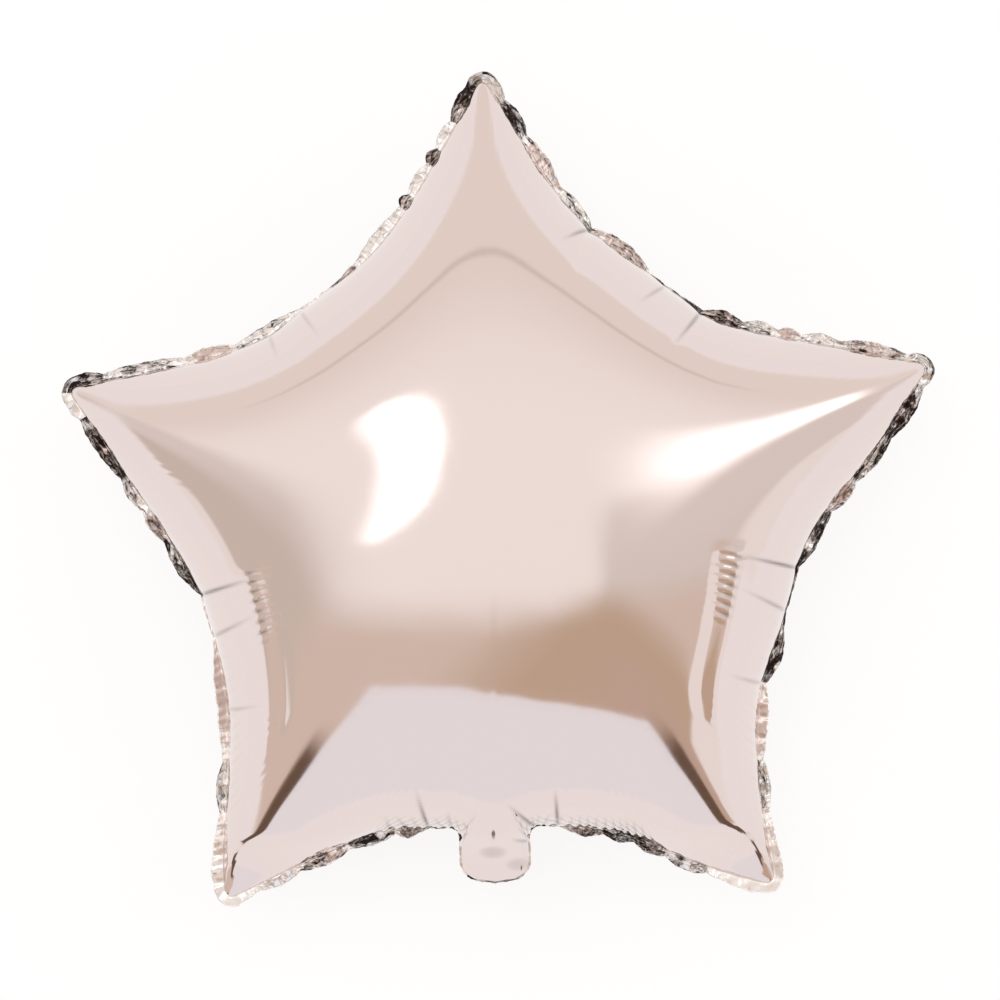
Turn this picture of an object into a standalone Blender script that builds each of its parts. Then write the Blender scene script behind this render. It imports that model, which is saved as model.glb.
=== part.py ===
# Star foil balloon, inflated, lying on the middle of its back panel.
# The front panel looks up along +Z and the top arm points toward +Y.
# Two film panels are welded all round into one sealed bag, so it is one body.
import math

import bmesh
import bpy
import numpy as np

# Reach of the longest arm from the middle, metres; the star is drawn in shares of it
STAR_RADIUS = 0.2275
TIP_REACH = (0.965, 0.969, 1.000, 0.987, 0.998)
VALLEY_REACH = (0.624, 0.658, 0.659, 0.662, 0.637)
FULLNESS = 0.90 * STAR_RADIUS
REST_FLAT_DEPTH = 0.004 * STAR_RADIUS

# Arm directions in degrees, from the top arm anticlockwise
TIP_ANGLE = (90.4, 161.4, 233.1, 306.4, 378.7)
# How far each valley lies anticlockwise of the middle between its two arms
VALLEY_LEAN = (-1.0, -0.2, 0.0, 2.0, -2.7)
ARM_COUNT = 5

# Shape of each side of an arm, from the left of the top arm anticlockwise to the
# right of it: degrees off the arm's middle line at the tip, and the shares of the
# star's radius for which the side holds its course at the tip and at the valley
NOSE_RADIUS = 0.0167 * STAR_RADIUS
FLANK_ANGLE = (29.5, 27.5, 39.0, 39.0, 28.0, 38.5, 27.0, 39.5, 31.5, 29.5)
TIP_COURSE = (0.35, 0.42, 0.34, 0.20, 0.42, 0.35, 0.42, 0.37, 0.42, 0.34)
VALLEY_COURSE = (0.14, 0.20, 0.15, 0.26, 0.14, 0.31, 0.20, 0.25, 0.18, 0.30)
FLANK_POINTS = 60
ARC_POINTS = 8

# Filling tail at the foot, in the valley between the two lower arms
TAIL_INDEX = 2
TAIL_CENTRE_X = -0.0149 * STAR_RADIUS
TAIL_HALF_WIDTH = 0.0747 * STAR_RADIUS
TAIL_ROOT_Y = -0.6593 * STAR_RADIUS
TAIL_END_Y = -0.7780 * STAR_RADIUS
TAIL_END_BOW = 0.0044 * STAR_RADIUS
TAIL_FILLET = 0.0264 * STAR_RADIUS
TAIL_CORNER = 0.0440 * STAR_RADIUS
TAIL_CORNER_TURN = 80.0
TAIL_FLATNESS = 0.60
ROOT_LEAN = 3.0

# Welded flange outside the seam, with its share of the width over each side of an arm
FLANGE_THICKNESS = 0.0008
FLANGE_WIDTH = 0.0060
FLANGE_SHARES = (0.95, 0.90, 1.00, 0.80, 0.75, 0.80, 0.80, 1.00, 0.90, 1.00)
FLANGE_WIDTH_VALLEY = 0.0010
FLANGE_WIDTH_TIP = 0.0050
FLANGE_WIDTH_TAIL = 0.0012
FLANGE_RISE_LENGTH = 0.0300
FLANGE_CURL_HEIGHT = 0.0022
FLANGE_JITTER_WIDTH = 0.0010
JITTER_TURNS = (2.40, 0.83)
CURL_SHARE = (0.75, 0.35)
CURL_TURN = 1.70
# Share of the width and share of the curl at the two rows of the flange
FLANGE_ROWS = ((0.5, -0.55), (1.0, 1.0))

# Gathers along the seam, one ridge and one hollow in two columns; small on the
# upper arms and deep on the outer sides of the lower ones
GATHER_DEPTH = 0.0008
GATHER_SHARES = (0.5, 0.5, 0.8, 1.3, 0.8, 0.8, 1.3, 0.8, 0.5, 0.5)
GATHER_PEAK_LENGTH = 0.0060
GATHER_LENGTH = 0.0200
SCALLOP_DEPTH = 0.0004

# Pressed folds: corner number, columns from that corner, share of the longest
# fold, share of the deepest
# Corners run anticlockwise: upper left, left, tail left, tail right, right, upper right
FOLD_LENGTH = 0.0420
FOLD_DEPTH = 0.0044
FOLDS = (
    (0, 0, 0.71, 0.41),
    (0, 6, 0.62, 0.27),
    (1, -2, 1.00, 1.00),
    (1, 2, 0.86, 0.77),
    (1, 8, 0.81, 0.59),
    (2, -2, 0.76, 0.68),
    (2, -8, 0.57, 0.41),
    (3, 0, 0.76, 0.68),
    (3, 4, 0.57, 0.41),
    (4, -8, 0.81, 0.59),
    (4, -2, 0.86, 0.77),
    (4, 2, 1.00, 1.00),
    (5, -6, 0.86, 0.82),
    (5, -2, 0.71, 0.59),
    (5, 6, 0.76, 0.68),
)
FOLD_PEAK_LENGTH = 0.0090
FOLD_NOTCH_DEPTH = 0.0012

# Mesh density: columns along the seam, bands from the seam to the middle
SIDE_STEPS = 22
TAIL_STEPS = 10
FULL_BANDS = 5
HALF_BANDS = 5
QUARTER_BANDS = 4
INNER_RING = 0.06
ROOT_COLUMN = (2 * TAIL_INDEX + 1) * SIDE_STEPS
SPINE_ROOT_Y = -0.4835 * STAR_RADIUS
SPINE_END_Y = -0.6681 * STAR_RADIUS
SPINE_LEAD = 18

# The film's height field: density of its seam, and how far outside its terms sit
FIELD_DENSITY = 4
FIELD_OFFSET = 2.6

# Film finish
FILM_COLOUR = (0.80, 0.63, 0.56, 1.0)
FILM_ROUGHNESS = 0.14

NODE_NAME = "foil_balloon"


def clear_scene():
    for item in list(bpy.data.objects):
        bpy.data.objects.remove(item, do_unlink=True)


def smoothstep(value):
    value = np.clip(value, 0.0, 1.0)
    return value * value * (3.0 - 2.0 * value)


def polar(radius, degrees):
    angle = math.radians(degrees)
    return np.array([radius * math.cos(angle), radius * math.sin(angle)])


def bezier(p0, p1, p2, p3, steps):
    t = np.linspace(0.0, 1.0, steps + 1)[:, None]
    s = 1.0 - t
    return s ** 3 * p0 + 3 * s * s * t * p1 + 3 * s * t * t * p2 + t ** 3 * p3


def arc(centre, radius, start, stop, steps):
    angles = np.radians(np.linspace(start, stop, steps + 1))
    return centre + radius * np.stack([np.cos(angles), np.sin(angles)], axis=1)


def resample(points, steps):
    # Equal steps of arc length along a polyline
    lengths = np.linalg.norm(np.diff(points, axis=0), axis=1)
    along = np.concatenate([[0.0], np.cumsum(lengths)])
    targets = np.linspace(0.0, along[-1], steps + 1)
    x = np.interp(targets, along, points[:, 0])
    y = np.interp(targets, along, points[:, 1])
    return np.stack([x, y], axis=1)


def valley_point(index):
    following = TIP_ANGLE[(index + 1) % ARM_COUNT]
    if following < TIP_ANGLE[index]:
        following += 360.0
    middle = 0.5 * (TIP_ANGLE[index] + following) + VALLEY_LEAN[index]
    return polar(VALLEY_REACH[index] * STAR_RADIUS, middle), middle


def half_arm(index, side):
    # From the tip of an arm down one side to the valley; side +1 is anticlockwise
    flank = (2 * index + min(side, 0)) % (2 * ARM_COUNT)
    tip_deg = TIP_ANGLE[index]
    nose_centre = polar(TIP_REACH[index] * STAR_RADIUS - NOSE_RADIUS, tip_deg)
    sweep = 90.0 - FLANK_ANGLE[flank]
    nose = arc(nose_centre, NOSE_RADIUS, tip_deg, tip_deg + side * sweep, ARC_POINTS)
    heading = tip_deg + 180.0 - side * FLANK_ANGLE[flank]
    valley_index = index if side > 0 else (index - 1) % ARM_COUNT
    foot, foot_deg = valley_point(valley_index)
    back = foot_deg - side * 90.0
    if valley_index == TAIL_INDEX:
        foot = np.array([TAIL_CENTRE_X - side * (TAIL_HALF_WIDTH + TAIL_FILLET), TAIL_ROOT_Y])
        back = 90.0 + side * (90.0 + ROOT_LEAN)
    start = nose[-1]
    leave = start + polar(TIP_COURSE[flank] * STAR_RADIUS, heading)
    arrive = foot + polar(VALLEY_COURSE[flank] * STAR_RADIUS, back)
    side_line = bezier(start, leave, arrive, foot, FLANK_POINTS)
    return np.concatenate([nose, side_line[1:]])


def tail_half(side):
    # From the root of the tail round to the middle of its end
    x = -side * TAIL_HALF_WIDTH
    root = np.array([x - side * TAIL_FILLET, TAIL_ROOT_Y - TAIL_FILLET])
    fillet = arc(root, TAIL_FILLET, 90.0, 90.0 - side * 90.0, ARC_POINTS)
    corner_centre = np.array([x + side * TAIL_CORNER, TAIL_END_Y + TAIL_CORNER])
    start = 90.0 + side * 90.0
    stop = start + side * TAIL_CORNER_TURN
    corner = arc(corner_centre, TAIL_CORNER, start, stop, ARC_POINTS)
    end = np.array([[0.0, TAIL_END_Y - TAIL_END_BOW]])
    points = np.concatenate([fillet, corner, end])
    points[:, 0] += TAIL_CENTRE_X
    return points


def outline(side_steps, tail_steps):
    # Closed seam line, anticlockwise from the top tip
    pieces = []
    for index in range(ARM_COUNT):
        following = (index + 1) % ARM_COUNT
        pieces.append(resample(half_arm(index, 1), side_steps)[:-1])
        if index == TAIL_INDEX:
            pieces.append(resample(tail_half(1), tail_steps)[:-1])
            pieces.append(resample(tail_half(-1), tail_steps)[::-1][:-1])
        pieces.append(resample(half_arm(following, -1), side_steps)[::-1][:-1])
    return np.concatenate(pieces)


def outward_normals(points):
    tangent = np.roll(points, -1, axis=0) - np.roll(points, 1, axis=0)
    tangent /= np.linalg.norm(tangent, axis=1)[:, None]
    return np.stack([tangent[:, 1], -tangent[:, 0]], axis=1)


def film_solution():
    # Height field of a pressed film fixed along the seam: a sum of point terms
    # set outside the seam, solved so that the height is nil on the seam
    edge = outline(FIELD_DENSITY * SIDE_STEPS, FIELD_DENSITY * TAIL_STEPS)
    normals = outward_normals(edge)
    spacing = np.linalg.norm(edge[1] - edge[0])
    sources = (edge + FIELD_OFFSET * spacing * normals)[::2]
    gaps = np.linalg.norm(edge[:, None, :] - sources[None, :, :], axis=2)
    table = np.concatenate([np.log(gaps), np.ones((len(edge), 1))], axis=1)
    right = 0.25 * np.sum(edge * edge, axis=1)
    weights = np.linalg.lstsq(table, right, rcond=1e-9)[0]
    return sources, weights


def film_height(points, sources, weights):
    # Half thickness of the bag at each point, and the outward direction of the film
    flat = points.reshape(-1, 2)
    spread = flat[:, None, :] - sources[None, :, :]
    squared = np.sum(spread * spread, axis=2)
    value = 0.5 * np.log(squared) @ weights[:-1] + weights[-1]
    value -= 0.25 * np.sum(flat * flat, axis=1)
    slope = np.einsum("ij,ijk->ik", weights[:-1] / squared, spread) - 0.5 * flat
    round_section = np.sqrt(np.maximum(2.0 * value, 0.0))
    # A narrow arm blows up nearly round, the wide middle stays flatter
    flatten = 1.0 / (1.0 + round_section / FULLNESS)
    height = round_section * flatten
    normal = np.concatenate([-slope * (flatten ** 2)[:, None], round_section[:, None]], axis=1)
    normal /= np.linalg.norm(normal, axis=1)[:, None]
    beyond = (TAIL_ROOT_Y - flat[:, 1]) / (TAIL_ROOT_Y - TAIL_END_Y)
    height *= 1.0 - TAIL_FLATNESS * smoothstep(beyond)
    return height.reshape(points.shape[:-1]), normal.reshape(points.shape[:-1] + (3,))


def seam_columns(side_ends):
    # Columns of the mesh at the given ends of arm sides; past the tail they move on by its columns
    columns = []
    for end in side_ends:
        column = end * SIDE_STEPS
        columns.append(column + 2 * TAIL_STEPS if column > ROOT_COLUMN else column)
    return columns


def corner_columns():
    # The valleys, with the left and the right root of the tail in place of the lowest
    valleys = seam_columns(range(1, 2 * ARM_COUNT, 2))
    valleys.insert(TAIL_INDEX + 1, ROOT_COLUMN + 2 * TAIL_STEPS)
    return valleys


def tip_columns():
    return seam_columns(range(0, 2 * ARM_COUNT, 2))


def over_sides(shares, count):
    # One share for every column, even along the seam between the middles of the arm sides
    middles = seam_columns(side + 0.5 for side in range(2 * ARM_COUNT))
    return np.interp(np.arange(count), middles, shares, period=count)


def hump(distance, peak, reach):
    # Rises from the seam to the peak distance, then fades out at the reach
    rise = smoothstep(distance / peak)
    fall = 1.0 - smoothstep((distance - peak) / max(reach - peak, 1e-6))
    return rise * fall


def distance_to_columns(count, columns):
    steps = np.arange(count)[:, None] - np.array(columns)[None, :]
    steps = np.abs((steps + count // 2) % count - count // 2)
    return steps.min(axis=1)


def flange_widths(count, column_length):
    # Narrow at valleys, tips and round the tail, full along the arms
    tail = list(range(ROOT_COLUMN, ROOT_COLUMN + 2 * TAIL_STEPS + 1))
    from_valley = distance_to_columns(count, corner_columns()) * column_length
    from_tail = distance_to_columns(count, tail) * column_length
    from_tip = distance_to_columns(count, tip_columns()) * column_length
    rise = smoothstep((from_valley - column_length) / FLANGE_RISE_LENGTH)
    full = FLANGE_WIDTH * over_sides(FLANGE_SHARES, count)
    width = FLANGE_WIDTH_VALLEY + (full - FLANGE_WIDTH_VALLEY) * rise
    near_tip = 1.0 - smoothstep(from_tip / FLANGE_RISE_LENGTH)
    width += (FLANGE_WIDTH_TIP - width) * near_tip
    column = np.arange(count)
    quick, slow = JITTER_TURNS
    width += FLANGE_JITTER_WIDTH * rise * np.sin(quick * column) * np.sin(slow * column + 1.0)
    width[from_tail < column_length] = FLANGE_WIDTH_TAIL
    return width


def fold_depths(count, distance):
    # Depth of the pressed folds at every column and ring, and the notch each makes in the seam
    depth = np.zeros_like(distance)
    notch = np.zeros(count)
    corners = corner_columns()
    for corner, offset, length, deepest in FOLDS:
        column = (corners[corner] + offset) % count
        shape = hump(distance[:, column], FOLD_PEAK_LENGTH, length * FOLD_LENGTH)
        depth[:, column] += deepest * FOLD_DEPTH * shape
        notch[column] = FOLD_NOTCH_DEPTH
    return depth, notch


def spine_points(count):
    # The rings close in on the middle of the star, and on a line that runs down to the tail
    half = count // 2
    column = np.minimum(np.arange(count), count - np.arange(count))
    to_root = smoothstep((column - (ROOT_COLUMN - SPINE_LEAD)) / SPINE_LEAD)
    to_end = np.clip((column - ROOT_COLUMN) / (half - ROOT_COLUMN), 0.0, 1.0)
    y = SPINE_ROOT_Y * to_root + (SPINE_END_Y - SPINE_ROOT_Y) * to_end
    x = TAIL_CENTRE_X * to_root
    return np.stack([x, y], axis=1)


def ring_shares():
    bands = FULL_BANDS + 1 + HALF_BANDS + 1 + QUARTER_BANDS
    turn = np.linspace(0.0, 0.5 * math.pi, bands + 1)
    return INNER_RING + (1.0 - INNER_RING) * np.cos(turn)


def ring_strides(rings):
    strides = []
    for ring in range(rings):
        if ring <= FULL_BANDS:
            strides.append(1)
        elif ring <= FULL_BANDS + 1 + HALF_BANDS:
            strides.append(2)
        else:
            strides.append(4)
    return strides


def join_rings(faces, outer, inner):
    # Bands between two rings; the inner ring has as many points or half as many
    count = len(inner)
    if len(outer) == count:
        for j in range(count):
            k = (j + 1) % count
            faces.append((outer[j], outer[k], inner[k]))
            faces.append((outer[j], inner[k], inner[j]))
        return
    for j in range(count):
        k = (j + 1) % count
        first, middle, last = outer[2 * j], outer[2 * j + 1], outer[(2 * j + 2) % len(outer)]
        faces.append((first, middle, inner[j]))
        faces.append((middle, inner[k], inner[j]))
        faces.append((middle, last, inner[k]))


def close_middle(faces, ring):
    # Rungs between the left and right half of the innermost ring
    half = len(ring) // 2
    faces.append((ring[0], ring[1], ring[-1]))
    for j in range(1, half - 1):
        left, lower_left = ring[j], ring[j + 1]
        right, lower_right = ring[-j], ring[-j - 1]
        faces.append((left, lower_left, lower_right))
        faces.append((left, lower_right, right))
    faces.append((ring[half - 1], ring[half], ring[half + 1]))


def panel(points, faces, edge_ring, grid, strides):
    # Rows of points from the seam to the middle of one panel
    outer = edge_ring
    for ring in range(1, len(strides)):
        row = grid[ring, ::strides[ring]]
        start = len(points)
        points.extend(map(tuple, row))
        inner = list(range(start, start + len(row)))
        join_rings(faces, outer, inner)
        outer = inner
    close_middle(faces, outer)


def balloon_mesh():
    edge = outline(SIDE_STEPS, TAIL_STEPS)
    count = len(edge)
    normals = outward_normals(edge)
    sources, weights = film_solution()
    shares = ring_shares()
    strides = ring_strides(len(shares))
    spine = spine_points(count)
    flat = spine[None] + shares[:, None, None] * (edge - spine)[None]
    distance = np.sum((edge[None] - flat) * normals[None], axis=2)
    height, outward = film_height(flat, sources, weights)
    height[0] = 0.0
    ridge = np.where(np.arange(count) % 2 == 0, -1.0, 1.0)
    gather = GATHER_DEPTH * hump(distance, GATHER_PEAK_LENGTH, GATHER_LENGTH)
    depth, notch = fold_depths(count, distance)
    push = gather * (over_sides(GATHER_SHARES, count) * ridge)[None] - depth
    push[0] = 0.0
    bag = np.concatenate([flat, height[..., None]], axis=2) + push[..., None] * outward
    seam_shift = SCALLOP_DEPTH * ridge - notch
    fade = 1.0 - smoothstep(distance / GATHER_LENGTH)
    bag[..., :2] += (fade * seam_shift[None])[..., None] * normals[None]

    middle, _ = film_height(np.zeros((1, 2)), sources, weights)
    slab = 0.5 * FLANGE_THICKNESS
    rest = middle[0] - REST_FLAT_DEPTH + slab
    front = bag.copy()
    front[..., 2] = rest + slab + bag[..., 2]
    back = bag.copy()
    back[..., 2] = np.maximum(rest - slab - bag[..., 2], 0.0)

    column_length = np.linalg.norm(edge - np.roll(edge, 1, axis=0), axis=1).mean()
    width = flange_widths(count, column_length)
    mean, swing = CURL_SHARE
    curl = FLANGE_CURL_HEIGHT * (width / FLANGE_WIDTH) * ridge
    curl *= mean + swing * np.sin(CURL_TURN * np.arange(count))
    faces = []
    points = [tuple(p) for p in front[0]]
    top_ring = list(range(count))
    points.extend(tuple(p) for p in back[0])
    low_ring = list(range(count, 2 * count))
    rims = []
    for side in (1.0, -1.0):
        rows = []
        for share, lift in FLANGE_ROWS:
            row = np.zeros((count, 3))
            row[:, :2] = bag[0, :, :2] + (share * width)[:, None] * normals
            row[:, 2] = rest + side * slab + lift * curl
            start = len(points)
            points.extend(map(tuple, row))
            rows.append(list(range(start, start + count)))
        rims.append(rows)
    top_rows, low_rows = rims
    join_rings(faces, top_rows[1], top_rows[0])
    join_rings(faces, top_rows[0], top_ring)
    join_rings(faces, low_rows[1], top_rows[1])
    join_rings(faces, low_rows[0], low_rows[1])
    join_rings(faces, low_ring, low_rows[0])
    panel(points, faces, top_ring, front, strides)
    back_faces = []
    panel(points, back_faces, low_ring, back, strides)
    faces.extend(face[::-1] for face in back_faces)
    return points, faces


def film_material():
    material = bpy.data.materials.new("metallised_film")
    material.use_nodes = True
    shader = material.node_tree.nodes["Principled BSDF"]
    shader.inputs["Base Color"].default_value = FILM_COLOUR
    shader.inputs["Metallic"].default_value = 1.0
    shader.inputs["Roughness"].default_value = FILM_ROUGHNESS
    material.diffuse_color = FILM_COLOUR
    return material


def build():
    points, faces = balloon_mesh()
    mesh = bpy.data.meshes.new(NODE_NAME)
    mesh.from_pydata(points, [], faces)
    mesh.materials.append(film_material())
    shape = bmesh.new()
    shape.from_mesh(mesh)
    bmesh.ops.recalc_face_normals(shape, faces=shape.faces)
    shape.to_mesh(mesh)
    shape.free()
    balloon = bpy.data.objects.new(NODE_NAME, mesh)
    bpy.context.scene.collection.objects.link(balloon)


clear_scene()
build()
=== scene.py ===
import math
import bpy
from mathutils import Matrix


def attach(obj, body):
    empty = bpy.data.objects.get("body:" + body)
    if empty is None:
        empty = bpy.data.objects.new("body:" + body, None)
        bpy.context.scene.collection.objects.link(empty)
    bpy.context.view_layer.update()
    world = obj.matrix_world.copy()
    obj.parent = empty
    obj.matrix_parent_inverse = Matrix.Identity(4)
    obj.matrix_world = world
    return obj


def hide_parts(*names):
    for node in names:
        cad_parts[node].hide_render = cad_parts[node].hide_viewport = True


bl_info = {
    "name": "Star foil balloon",
    "version": (1, 0, 0),
    "blender": (4, 5, 0),
    "location": "3D View > Sidebar > Balloon",
    "description": "Builds an inflated star foil balloon on its back, with its film, seam strip and studio",
    "category": "Add Mesh",
}

import bpy
import numpy as np
from bpy.props import FloatProperty, FloatVectorProperty, IntProperty, PointerProperty
from mathutils import Vector

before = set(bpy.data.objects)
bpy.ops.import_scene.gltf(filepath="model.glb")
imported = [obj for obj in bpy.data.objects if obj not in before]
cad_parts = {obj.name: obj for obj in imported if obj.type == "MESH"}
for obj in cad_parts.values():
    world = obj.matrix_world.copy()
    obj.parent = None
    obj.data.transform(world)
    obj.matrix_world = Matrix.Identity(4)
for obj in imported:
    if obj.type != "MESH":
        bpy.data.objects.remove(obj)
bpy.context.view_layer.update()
NODE = "foil_balloon"

# The seam line is the one that the solid is built from: shares of the star's radius,
# and degrees, from the top arm anticlockwise
TIP_REACH = (0.965, 0.969, 1.000, 0.987, 0.998)
TIP_ANGLE = (90.4, 161.4, 233.1, 306.4, 378.7)
VALLEY_REACH = (0.624, 0.658, 0.659, 0.662, 0.637)
VALLEY_LEAN = (-1.0, -0.2, 0.0, 2.0, -2.7)
ARM_COUNT = 5
NOSE_RADIUS = 0.0167
FLANK_ANGLE = (29.5, 27.5, 39.0, 39.0, 28.0, 38.5, 27.0, 39.5, 31.5, 29.5)
TIP_COURSE = (0.35, 0.42, 0.34, 0.20, 0.42, 0.35, 0.42, 0.37, 0.42, 0.34)
VALLEY_COURSE = (0.14, 0.20, 0.15, 0.26, 0.14, 0.31, 0.20, 0.25, 0.18, 0.30)
FLANK_POINTS = 240
ARC_POINTS = 16
TAIL_INDEX = 2
TAIL_CENTRE_X = -0.0149
TAIL_HALF_WIDTH = 0.0747
TAIL_ROOT_Y = -0.6593
TAIL_END_Y = -0.7780
TAIL_END_BOW = 0.0044
TAIL_FILLET = 0.0264
TAIL_CORNER = 0.0440
TAIL_CORNER_TURN = 80.0
TAIL_FLATNESS = 0.60
ROOT_LEAN = 3.0

# Columns of the solid along the seam. Places along the seam are given in these columns,
# which are 5.9 mm apart, counted anticlockwise from the top tip
SIDE_STEPS = 22
TAIL_STEPS = 10
COLUMNS = 2 * ARM_COUNT * SIDE_STEPS + 2 * TAIL_STEPS
CORNERS = (22, 66, 110, 130, 174, 218)
TIPS = (0, 44, 88, 152, 196)
ROOT_COLUMN = 110
# Point terms that give the film's height: how many points a column has on the seam, how
# many gaps between them the terms stand off, and how many places are worked out at a time
FIELD_DENSITY = 4
FIELD_OFFSET = 2.6
FIELD_BLOCK = 8000
# The line down to the tail on which the lower rings close, in shares of the radius
SPINE_ROOT_Y = -0.4835
SPINE_END_Y = -0.6681
SPINE_LEAD = 18
# Share of the turn that the rings take evenly; the rest crowds them at the seam
EVEN_TURN = 0.62

# Pressed creases: column at the seam, lean toward the next columns in degrees,
# length, depth and notch in the seam, metres
CREASES = (
    (24.6, 0.0, 0.022, 0.0003, 0.0000),
    (27.4, 8.0, 0.018, 0.0003, 0.0006),
    (64.0, 5.0, 0.036, 0.0010, 0.0016),
    (67.6, -11.0, 0.030, 0.0006, 0.0004),
    (73.2, -6.0, 0.022, 0.0004, 0.0003),
    (104.8, -5.0, 0.012, 0.0004, 0.0004),
    (108.2, -14.0, 0.026, 0.0011, 0.0008),
    (110.6, -30.0, 0.012, 0.0007, 0.0004),
    (127.6, 15.0, 0.011, 0.0006, 0.0004),
    (129.6, -24.0, 0.023, 0.0010, 0.0006),
    (131.6, -7.0, 0.025, 0.0011, 0.0006),
    (167.2, 4.0, 0.024, 0.0005, 0.0012),
    (173.1, 10.0, 0.032, 0.0006, 0.0006),
    (176.6, -5.0, 0.040, 0.0010, 0.0014),
    (214.9, 8.0, 0.028, 0.0008, 0.0016),
    (218.6, 18.0, 0.021, 0.0005, 0.0004),
    (225.7, 20.0, 0.019, 0.0009, 0.0022),
)
CREASE_PEAK = 0.0060
CREASE_HALF_WIDTH = 0.0011
# Half width of the painted shade line along a crease, and the crease depth at which that line is darkest,
# metres
FOLD_HALF_WIDTH = 0.0009
DEEP_CREASE = 0.0012
PILLOW_HALF_WIDTH = 0.0050
PILLOW_SHARE = 0.35
NOTCH_REACH = 0.0040
# How far into the film a notch in the seam is felt
NOTCH_INWARD = 0.03

# How strong the small gathers are: everywhere, and how much more from one column to
# another. Nearly smooth on the upper arms, deepest on the outer sides of the lower ones
GATHER_STRENGTH = 0.05
GATHERED = (
    (67, 82, 0.35), (158, 173, 0.35), (50, 64, 0.08),
    (177, 190, 0.08), (94, 109, 0.15), (131, 146, 0.15),
)
# Where the gathers stand highest and how far they run in, metres
GATHER_PEAK = 0.007
GATHER_REACH = 0.024
GATHER_LEAST_REACH = 0.014
# About the mean of their wave, taken off so that the film keeps its place
GATHER_MEAN = 0.62
GATHER_UNEVEN = 0.7
GATHER_REACH_UNEVEN = 0.3
# Painted shade along the lines between the gathers: how dark, where it peaks and how far it runs in, metres
GATHER_SHADE = 0.15
GATHER_SHADE_PEAK = 0.004
GATHER_SHADE_REACH = 0.010
# The two panels are gathered differently
FRONT_SEED = 1.0
BACK_SEED = 4.0

# Rows of puckers at the shoulder of the lower valleys: first and last column,
# distance from the seam at both, half width of the row, metres
PUCKERS = (
    (62.6, 69.6, 0.0335, 0.0300, 0.0040),
    (170.4, 177.6, 0.0345, 0.0375, 0.0042),
)
PUCKER_PITCH = 0.0058
PUCKER_UNEVEN = 0.5
PUCKER_MEAN = 0.55
PUCKER_FADE = 1.2
# The pinch between two puckers, in half widths of the row, and how dark the painted shade in it is
PINCH_PLACE = -0.9
PINCH_HALF_WIDTH = 0.5
PINCH_SHADE = 1.6

# Long low ridges that the puckers run out into, each with a groove on its inner side:
# first and last column, distance from the seam at both, half width and height, metres
RIDGES = (
    (62.8, 80.0, 0.0305, 0.0215, 0.0042, 0.0008),
    (62.8, 79.0, 0.0385, 0.0275, 0.0032, -0.0009),
    (160.5, 177.4, 0.0225, 0.0335, 0.0042, 0.0008),
    (161.5, 177.4, 0.0285, 0.0415, 0.0032, -0.0009),
)
RIDGE_FADE = 3.0

# Dents in the tail: place, half width along x and y, depth, metres, and how dark the painted shade in them
# is
DENTS = (
    (-0.0040, -0.1520, 0.0010, 0.0026, 0.0014, 0.85),
    (-0.0044, -0.1618, 0.0070, 0.0036, 0.0003, 0.22),
    (0.0080, -0.1690, 0.0064, 0.0036, 0.0001, 0.18),
)
DENT_SHADE_REACH = 1.4
# Fine crumples on both sides of the tail: first and last column, and their reach inward
CRUMPLED = ((103.0, 113.0, 0.0095), (127.0, 141.0, 0.0095))
CRUMPLE_PITCH = 0.0068
CRUMPLE_SLANT = 0.7
CRUMPLE_CROSSING = 1.37
CRUMPLE_UNEVEN = 1.5
CRUMPLE_FADE = 1.5
CRUMPLE_MEAN = 0.4
# Painted shade in the hollows of the crumples: how dark, and how fast it fades from the hollow
CRUMPLE_SHADE = 0.8
CRUMPLE_SHADE_EDGE = 2.2
# Toward the tip of an arm the weld holds the film flatter than the open bag
TIP_FLATTEN = 0.38
TIP_FLATTEN_REACH = 0.15
TIP_FLATTEN_END = 0.70
# Half the thickness of the solid's seam flange, metres
HALF_SLAB = 0.0004

# Leaves of the seam strip between the places where it is pinched: first and last
# column, and how bright the film looks there, a painted reflection: dark, grey or pale
# as its crumpled facets would mirror dark or light parts of the room. A smooth leaf
# hardly differs from the bag
DARK = 0.26
GREY = 0.55
PALE = 0.86
SMOOTH = 2.00
LEAVES = (
    (0.8, 4.2, DARK), (4.2, 6.8, PALE), (6.8, 8.3, DARK), (8.3, 11.3, PALE),
    (11.3, 12.5, DARK), (12.5, 18.8, PALE), (18.8, 21.4, GREY), (24.5, 30.5, GREY),
    (30.5, 34.6, PALE), (34.6, 41.2, GREY), (41.2, 44.2, DARK), (44.2, 46.4, SMOOTH),
    (46.4, 52.4, DARK),
    (52.4, 55.6, GREY), (55.6, 58.6, GREY), (58.6, 64.2, DARK), (66.5, 77.4, SMOOTH),
    (77.4, 81.6, GREY), (81.6, 91.0, SMOOTH), (91.0, 95.2, PALE), (95.2, 100.4, GREY),
    (100.4, 105.0, DARK), (105.0, 108.4, GREY), (108.4, 112.6, DARK), (112.6, 116.6, SMOOTH),
    (116.6, 123.4, DARK), (123.4, 128.2, SMOOTH), (128.2, 131.0, DARK), (131.0, 135.8, GREY),
    (135.8, 138.8, DARK), (138.8, 142.0, DARK), (142.0, 146.0, GREY), (146.0, 157.6, SMOOTH),
    (157.6, 161.4, GREY), (161.4, 167.2, SMOOTH), (167.2, 172.8, DARK), (172.8, 176.6, DARK),
    (176.6, 182.0, DARK), (182.0, 185.2, GREY), (185.2, 189.6, DARK), (189.6, 194.6, DARK),
    (194.6, 197.4, GREY), (197.8, 203.4, GREY), (203.4, 206.4, GREY), (206.4, 208.4, PALE),
    (208.4, 211.4, GREY), (211.4, 214.9, DARK), (214.9, 219.4, DARK), (219.4, 225.7, GREY),
    (225.7, 229.8, GREY), (229.8, 234.6, GREY), (234.6, 237.8, DARK), (237.8, 240.8, GREY),
)

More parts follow.
